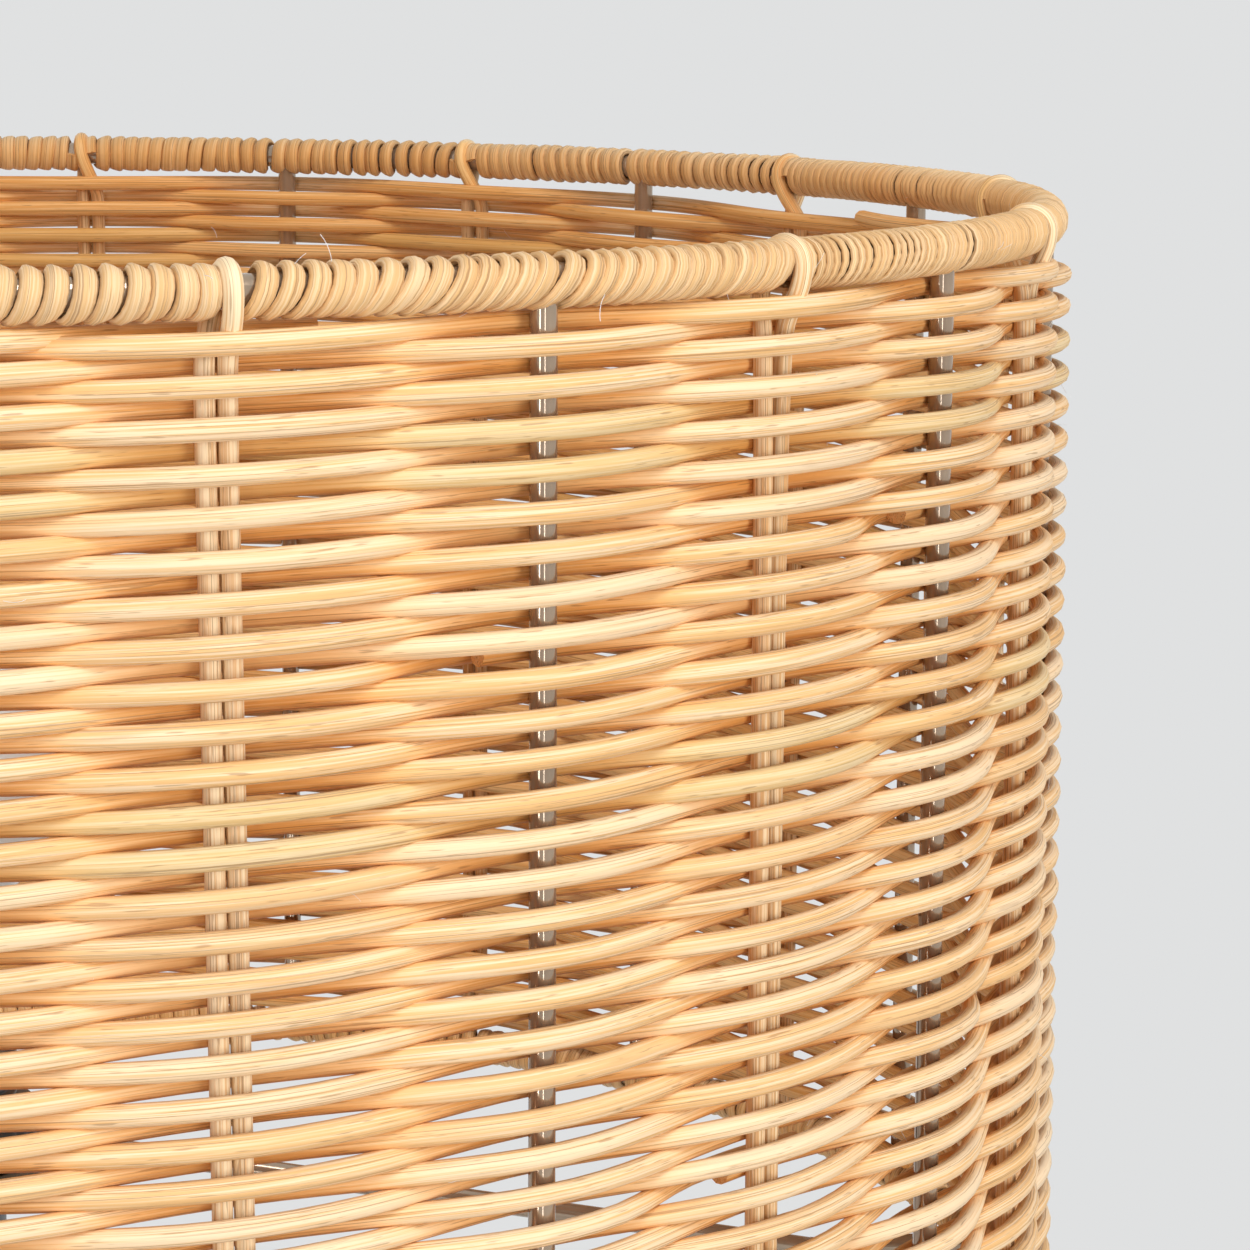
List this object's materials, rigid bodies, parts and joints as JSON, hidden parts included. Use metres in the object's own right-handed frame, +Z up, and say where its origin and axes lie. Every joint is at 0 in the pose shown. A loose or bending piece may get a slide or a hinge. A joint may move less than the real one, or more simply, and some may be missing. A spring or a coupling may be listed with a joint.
{
  "type": "rattan floor lamp",
  "caption": "Floor lamp with a woven rattan drum shade on a steel wire frame, a lampholder with a turn switch, a sectional pole and a round weighted base.",
  "frame": {"origin": "centre of the base pad's underside, on the floor under the pole", "axes": "+Z up along the pole, -Y towards the side with the turn switch, +X to the right seen from there"},
  "size_m": [0.437, 0.4308, 1.5001],
  "materials": {
    "rattan": "satin peeled rattan core, honey coloured",
    "cane_wrap": "flat cane strip with its natural skin, satin",
    "shade_steel": "lacquered grey-brown steel wire",
    "stand_steel": "satin grey-brown powder coat",
    "plain_steel": "zinc plated",
    "felt": "pressed felt",
    "moulding": "matt black moulding",
    "contact_brass": "plain brass",
    "screw_cap": "plain",
    "bulb_glass": "opal white"
  },
  "bodies": {
    "lamp": {"steel_upright_01": "shade_steel", "steel_upright_02": "shade_steel", "steel_upright_03": "shade_steel", "steel_upright_04": "shade_steel", "steel_upright_05": "shade_steel", "steel_upright_06": "shade_steel", "steel_upright_07": "shade_steel", "steel_upright_08": "shade_steel", "steel_upright_09": "shade_steel", "steel_upright_10": "shade_steel", "steel_upright_11": "shade_steel", "steel_upright_12": "shade_steel", "steel_upright_13": "shade_steel", "steel_upright_14": "shade_steel", "top_ring": "shade_steel", "bottom_ring": "shade_steel", "shade_fitter": "shade_steel", "rattan_stake_01": "rattan", "rattan_stake_02": "rattan", "rattan_stake_03": "rattan", "rattan_stake_04": "rattan", "rattan_stake_05": "rattan", "rattan_stake_06": "rattan", "rattan_stake_07": "rattan", "rattan_stake_08": "rattan", "rattan_stake_09": "rattan", "rattan_stake_10": "rattan", "rattan_stake_11": "rattan", "rattan_stake_12": "rattan", "rattan_stake_13": "rattan", "rattan_stake_14": "rattan", "weaver_first_01": "rattan", "weaver_first_02": "rattan", "weaver_first_03": "rattan", "weaver_first_04": "rattan", "weaver_second_01": "rattan", "weaver_second_02": "rattan", "weaver_second_03": "rattan", "weaver_second_04": "rattan", "top_rim_wrap": "cane_wrap", "bottom_rim_wrap": "cane_wrap", "pole_section_01": "stand_steel", "pole_section_02": "stand_steel", "pole_section_03": "stand_steel", "pole_joint_01": "stand_steel", "pole_joint_02": "stand_steel", "pole_cap": "stand_steel", "base_foot": "stand_steel", "base_disc": "stand_steel", "base_nut": "plain_steel", "base_pad": "felt", "shade_collar": "moulding", "lampholder_body": "moulding", "cord_gland": "moulding", "centre_contact": "contact_brass", "bulb_cap": "screw_cap", "bulb_glass": "bulb_glass"},
    "switch": {"switch_knob": "moulding"}
  },
  "joints": [
    {"name": "switch_turn", "type": "hinge", "parent": "lamp", "child": "switch", "pos_m": [0, -0.0243, 1.2967], "axis": [0, -1, 0], "range_deg": [0, 90]}
  ]
}
